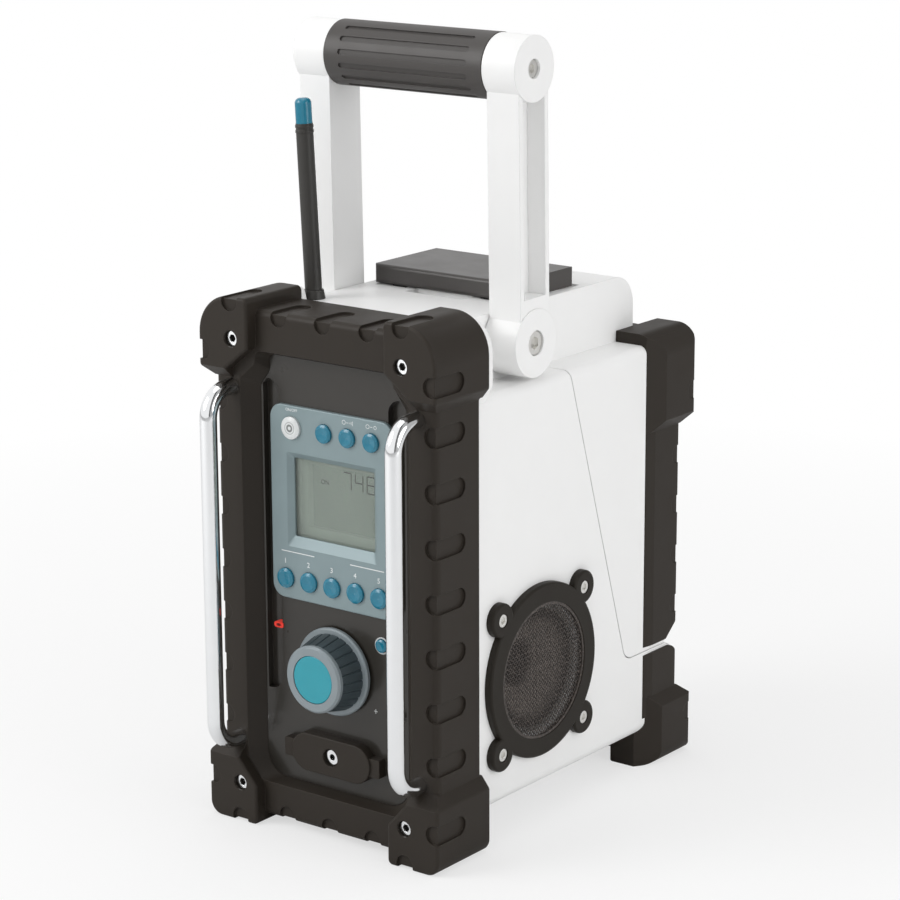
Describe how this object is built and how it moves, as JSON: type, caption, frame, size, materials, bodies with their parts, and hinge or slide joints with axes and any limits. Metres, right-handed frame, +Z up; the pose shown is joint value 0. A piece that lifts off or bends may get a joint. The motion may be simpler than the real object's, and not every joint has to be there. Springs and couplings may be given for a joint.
{
  "type": "jobsite radio",
  "caption": "Portable jobsite radio: bumpered white body, side speakers, display panel with buttons and knob, antenna, folding handle and a hinged rear battery cover.",
  "frame": {"origin": "bottom centre of the bounding box, on the ground plane under the bumpers", "axes": "+Z up, the front panel faces -Y, +X is the side of the right-hand speaker as the front is faced"},
  "size_m": [0.163, 0.2672, 0.4432],
  "materials": {
    "white_shell": "fine satin moulded plastic",
    "bumper": "fine matt",
    "fascia": "gloss",
    "bezel": "satin",
    "display": "smooth",
    "clear_window": "clear",
    "red_window": "gloss",
    "circuit_board": "solder mask",
    "switch_body": "matt",
    "steel": "plain",
    "chrome": "polished",
    "dark_soft": "soft matt",
    "teal": "semi gloss",
    "silver_button": "semi gloss",
    "speaker_ring": "matt",
    "grille": "matt black",
    "cone": "pressed paper",
    "magnet": "plain",
    "crossbar": "matt",
    "socket": "matt"
  },
  "bodies": {
    "radio": {"antenna_base": "dark_soft", "antenna_rod": "dark_soft", "antenna_tip": "teal", "aux_boss": "bumper", "aux_jack": "chrome", "battery_mount": "switch_body", "cover_hinge_pin": "steel", "dc_socket": "socket", "display_bezel": "bezel", "encoder_housing": "switch_body", "frame_screws": "chrome", "front_bumper": "bumper", "front_housing": "white_shell", "front_panel": "fascia", "guard_bar_left": "chrome", "guard_bar_right": "chrome", "handle_pivot_screws": "steel", "indicator_lens": "red_window", "lcd_lens": "clear_window", "lcd_module": "display", "main_board": "circuit_board", "rear_lower_bumper": "bumper", "speaker_basket_left": "steel", "speaker_basket_right": "steel", "speaker_cone_left": "cone", "speaker_cone_right": "cone", "speaker_grille_left": "grille", "speaker_grille_right": "grille", "speaker_magnet_left": "magnet", "speaker_magnet_right": "magnet", "speaker_ring_left": "speaker_ring", "speaker_ring_right": "speaker_ring", "speaker_screws_left": "steel", "speaker_screws_right": "steel", "tact_switches": "switch_body"},
    "handle": {"handle_arm_left": "white_shell", "handle_arm_right": "white_shell", "handle_crossbar": "crossbar", "handle_grip": "dark_soft", "handle_grip_screws": "steel"},
    "rear_cover": {"rear_cover": "white_shell", "rear_cover_bumper": "bumper", "latch_pin": "steel"},
    "latch": {"latch_lever": "dark_soft"},
    "knob_push": {"encoder_slider": "switch_body"},
    "knob": {"encoder_shaft": "steel", "knob_body": "bezel", "knob_skirt": "dark_soft", "knob_cap": "teal"},
    "power_button": {"power_button": "silver_button"},
    "band_button": {"band_button": "teal"},
    "radio_alarm_button": {"radio_alarm_button": "teal"},
    "buzzer_alarm_button": {"buzzer_alarm_button": "teal"},
    "scan_button": {"scan_button": "teal"},
    "preset_1_button": {"preset_1_button": "teal"},
    "preset_2_button": {"preset_2_button": "teal"},
    "preset_3_button": {"preset_3_button": "teal"},
    "preset_4_button": {"preset_4_button": "teal"},
    "preset_5_button": {"preset_5_button": "teal"}
  },
  "joints": [
    {"name": "handle_fold", "type": "hinge", "parent": "radio", "child": "handle", "pos_m": [0, -0.01833, 0.2765], "axis": [-1, 0, 0], "range_deg": [0, 87]},
    {"name": "cover_open", "type": "hinge", "parent": "radio", "child": "rear_cover", "pos_m": [0, 0.11718, 0.0715], "axis": [-1, 0, 0], "range_deg": [0, 80]},
    {"name": "latch_lift", "type": "hinge", "parent": "rear_cover", "child": "latch", "pos_m": [0, 0.05017, 0.298], "axis": [-1, 0, 0], "range_deg": [0, 60]},
    {"name": "knob_press", "type": "slide", "parent": "radio", "child": "knob_push", "axis": [0, 1, 0], "range_m": [0, 0.0008], "stiffness_N_per_m": 2000, "springref_m": -0.0006},
    {"name": "knob_turn", "type": "hinge", "parent": "knob_push", "child": "knob", "pos_m": [0, -0.11582, 0.0973], "axis": [0, -1, 0], "continuous": true},
    {"name": "power_button_press", "type": "slide", "parent": "radio", "child": "power_button", "axis": [0, 1, 0], "range_m": [0, 0.0008], "stiffness_N_per_m": 1200, "springref_m": -0.0006},
    {"name": "band_button_press", "type": "slide", "parent": "radio", "child": "band_button", "axis": [0, 1, 0], "range_m": [0, 0.0008], "stiffness_N_per_m": 1200, "springref_m": -0.0006},
    {"name": "radio_alarm_button_press", "type": "slide", "parent": "radio", "child": "radio_alarm_button", "axis": [0, 1, 0], "range_m": [0, 0.0008], "stiffness_N_per_m": 1200, "springref_m": -0.0006},
    {"name": "buzzer_alarm_button_press", "type": "slide", "parent": "radio", "child": "buzzer_alarm_button", "axis": [0, 1, 0], "range_m": [0, 0.0008], "stiffness_N_per_m": 1200, "springref_m": -0.0006},
    {"name": "scan_button_press", "type": "slide", "parent": "radio", "child": "scan_button", "axis": [0, 1, 0], "range_m": [0, 0.0008], "stiffness_N_per_m": 1200, "springref_m": -0.0006},
    {"name": "preset_1_button_press", "type": "slide", "parent": "radio", "child": "preset_1_button", "axis": [0, 1, 0], "range_m": [0, 0.0008], "stiffness_N_per_m": 1200, "springref_m": -0.0006},
    {"name": "preset_2_button_press", "type": "slide", "parent": "radio", "child": "preset_2_button", "axis": [0, 1, 0], "range_m": [0, 0.0008], "stiffness_N_per_m": 1200, "springref_m": -0.0006},
    {"name": "preset_3_button_press", "type": "slide", "parent": "radio", "child": "preset_3_button", "axis": [0, 1, 0], "range_m": [0, 0.0008], "stiffness_N_per_m": 1200, "springref_m": -0.0006},
    {"name": "preset_4_button_press", "type": "slide", "parent": "radio", "child": "preset_4_button", "axis": [0, 1, 0], "range_m": [0, 0.0008], "stiffness_N_per_m": 1200, "springref_m": -0.0006},
    {"name": "preset_5_button_press", "type": "slide", "parent": "radio", "child": "preset_5_button", "axis": [0, 1, 0], "range_m": [0, 0.0008], "stiffness_N_per_m": 1200, "springref_m": -0.0006}
  ]
}
